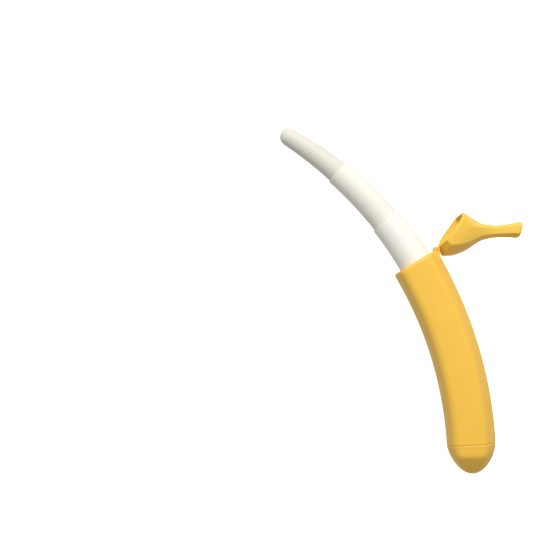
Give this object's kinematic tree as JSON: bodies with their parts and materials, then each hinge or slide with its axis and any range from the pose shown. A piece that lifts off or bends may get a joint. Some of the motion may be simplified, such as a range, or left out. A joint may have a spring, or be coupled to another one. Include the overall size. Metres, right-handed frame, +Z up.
{
  "type": "telescoping toy",
  "caption": "Banana-shaped telescoping toy: curved hollow sheath with push-in end cap, hinged stem lid and a nested blade that slides out in tapered stages.",
  "frame": {"origin": "bottom centre of the object's box as it lies on its flat side with the blade drawn out: X and Y centred, Z at the surface it rests on", "axes": "X and Y are the plane of the banana's curve, +Y towards the blade's tip end, +X towards the side the lid opens to; +Z is up, square to the curve, away from the surface it rests on"},
  "size_m": [0.1617, 0.2302, 0.03],
  "materials": {
    "peel_yellow": "smooth satin, warm yellow",
    "cap_yellow": "smooth satin, warm yellow",
    "lid_yellow": "smooth satin, warm yellow",
    "pin_yellow": "satin filament",
    "fruit_white": "smooth satin, warm white"
  },
  "bodies": {
    "sheath_body": {"sheath": "peel_yellow", "end_cap": "cap_yellow", "lid_hinge_pin": "pin_yellow"},
    "base_stage": {"blade_base": "fruit_white"},
    "middle_stage": {"blade_middle": "fruit_white"},
    "tip_stage": {"blade_tip": "fruit_white"},
    "lid_body": {"lid": "lid_yellow"}
  },
  "joints": [
    {"name": "base_slide", "type": "hinge", "parent": "sheath_body", "child": "base_stage", "pos_m": [-0.20466, -0.1061, 0.015], "axis": [0, 0, -1], "range_deg": [0, 12]},
    {"name": "middle_slide", "type": "hinge", "parent": "base_stage", "child": "middle_stage", "pos_m": [-0.20466, -0.1061, 0.015], "axis": [0, 0, -1], "range_deg": [0, 10.5]},
    {"name": "tip_slide", "type": "hinge", "parent": "middle_stage", "child": "tip_stage", "pos_m": [-0.20466, -0.1061, 0.015], "axis": [0, 0, -1], "range_deg": [0, 10.4]},
    {"name": "lid_hinge", "type": "hinge", "parent": "sheath_body", "child": "lid_body", "pos_m": [0.02325, 0.03423, 0.015], "axis": [0, 0, 1], "range_deg": [-13, 78]}
  ]
}
